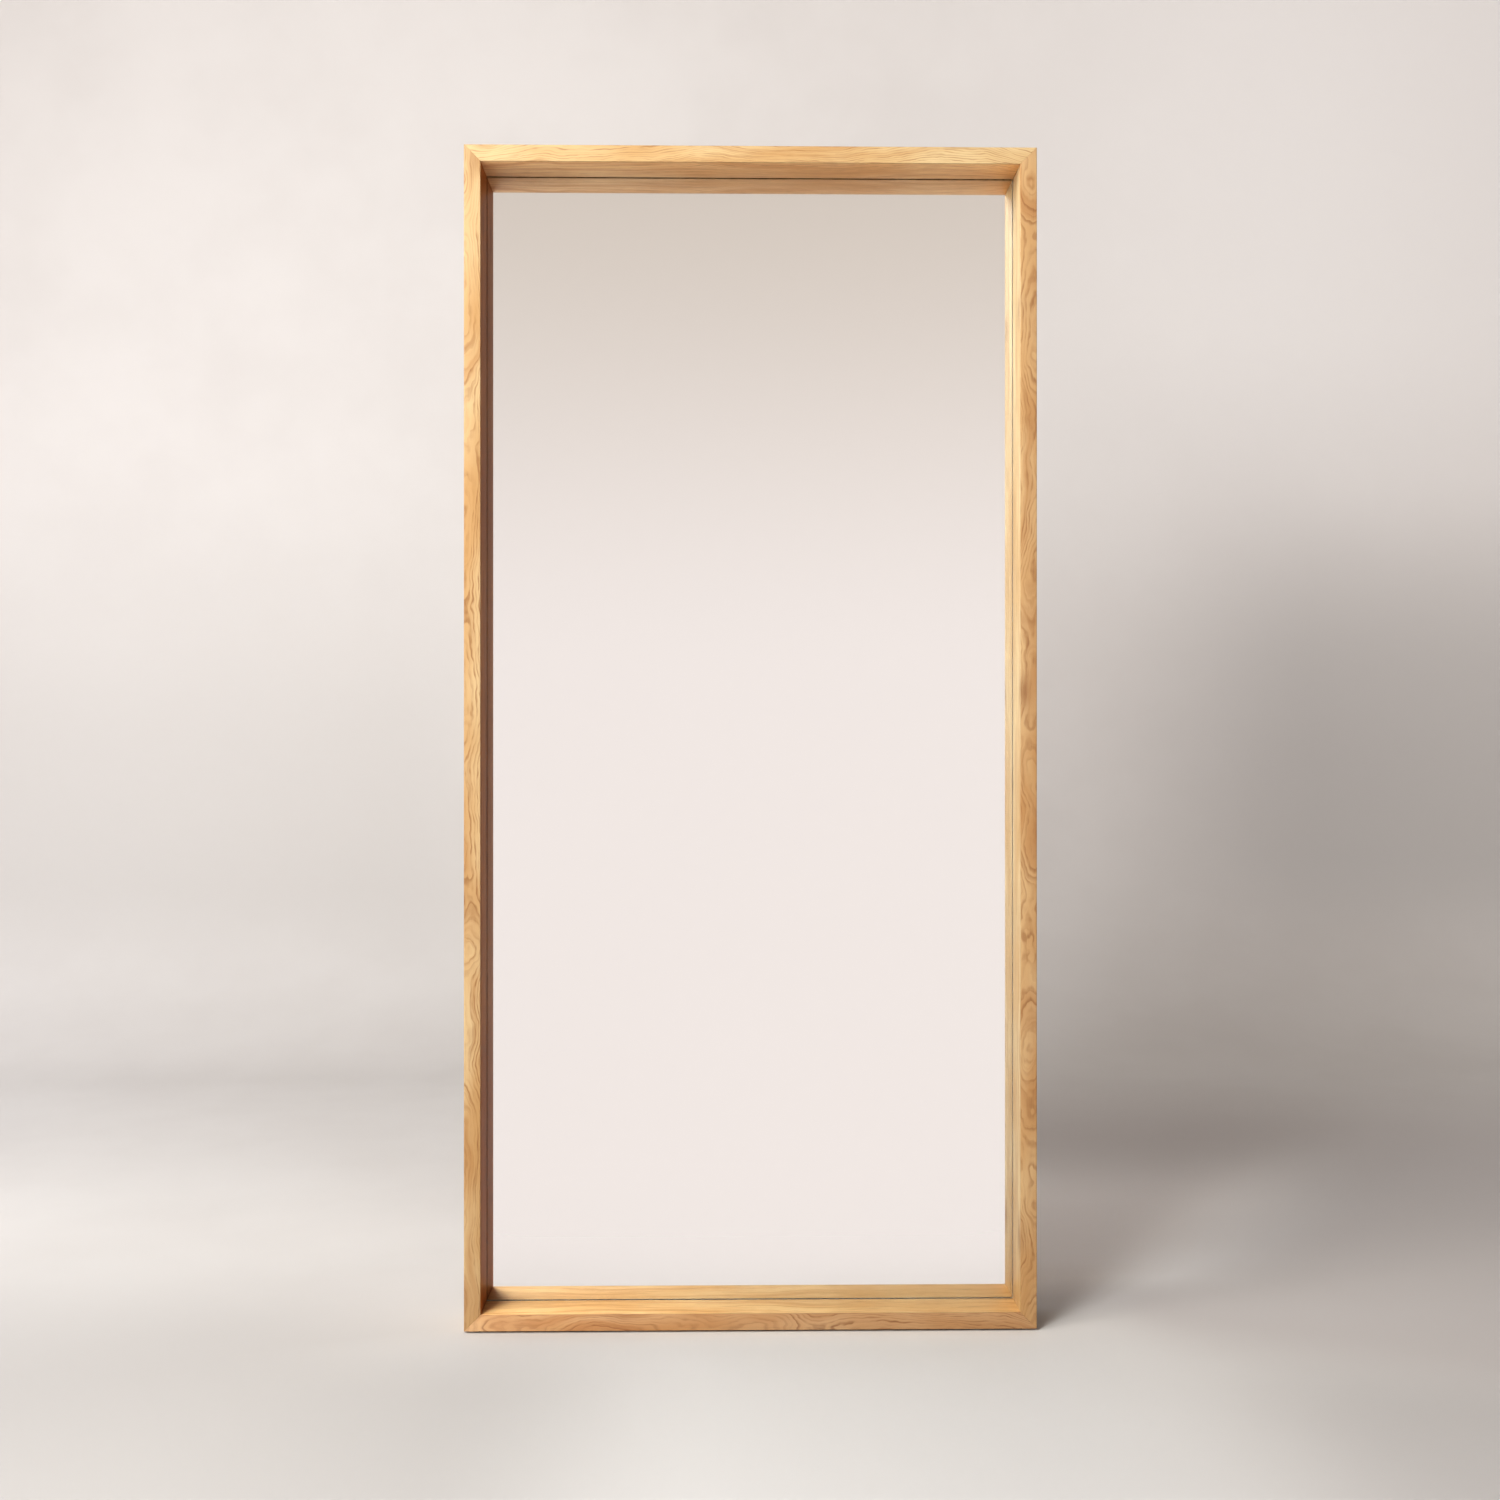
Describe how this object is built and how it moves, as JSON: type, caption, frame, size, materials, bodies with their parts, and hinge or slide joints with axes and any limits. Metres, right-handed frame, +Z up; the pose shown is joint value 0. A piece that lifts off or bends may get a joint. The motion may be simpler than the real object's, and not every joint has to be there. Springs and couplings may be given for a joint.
{
  "type": "cheval floor mirror",
  "caption": "Full-length floor mirror with a deep mitred oak shadow-box frame, recessed glass and a folding easel stand behind.",
  "frame": {"origin": "on the floor, under the middle of the footprint of the frame and its open stand", "axes": "+X to the viewer's right along the frame's width, +Y towards the back, +Z up along its height"},
  "size_m": [0.9, 0.3964, 1.863],
  "materials": {
    "oak": "satin clear lacquer over honey oak",
    "beech": "plain",
    "pine": "planed, unfinished",
    "hardboard": "smooth pressed board",
    "mirror_glass": "polished float glass",
    "silvering": "silvered, grey paint behind",
    "zinc_steel": "bright zinc plate",
    "brass": "turned",
    "black_rubber": "matte"
  },
  "bodies": {
    "frame": {"left_stile": "oak", "right_stile": "oak", "top_rail": "oak", "bottom_rail": "oak", "upper_back_rail": "oak", "hinge_rail": "oak", "lower_back_rail": "oak", "corner_splines": "beech", "batten_left": "pine", "batten_right": "pine", "batten_top": "pine", "batten_bottom": "pine", "backer_panel": "hardboard", "mirror_glass": "mirror_glass", "silver_layer": "silvering", "batten_screws": "zinc_steel", "rail_screws": "zinc_steel", "pivot_bracket_left": "zinc_steel", "pivot_bracket_right": "zinc_steel", "bracket_screws": "zinc_steel", "pivot_bolts": "zinc_steel", "pivot_nuts": "zinc_steel", "buffer_screws": "zinc_steel", "hanger_plate_left": "zinc_steel", "hanger_plate_right": "zinc_steel", "hanger_screws": "zinc_steel", "foot_pads": "black_rubber", "setting_blocks": "black_rubber", "stop_pads": "black_rubber", "fold_buffers": "black_rubber"},
    "stand": {"stand_leg_left": "oak", "stand_leg_right": "oak", "stand_top_rail": "oak", "stand_middle_rail": "oak", "stand_bottom_rail": "oak", "tenon_pins": "beech", "pivot_bushes": "brass", "stand_foot_left": "black_rubber", "stand_foot_right": "black_rubber"},
    "ring_left": {"ring_left": "zinc_steel"},
    "ring_right": {"ring_right": "zinc_steel"}
  },
  "joints": [
    {"name": "stand_fold", "type": "hinge", "parent": "frame", "child": "stand", "pos_m": [0, -0.06706, 1.2], "axis": [-1, 0, 0], "range_deg": [0, 12]},
    {"name": "ring_left_swing", "type": "hinge", "parent": "frame", "child": "ring_left", "pos_m": [-0.3, -0.08745, 1.48], "axis": [1, 0, 0], "range_deg": [0, 160]},
    {"name": "ring_right_swing", "type": "hinge", "parent": "frame", "child": "ring_right", "pos_m": [0.3, -0.08745, 1.48], "axis": [1, 0, 0], "range_deg": [0, 160]}
  ]
}
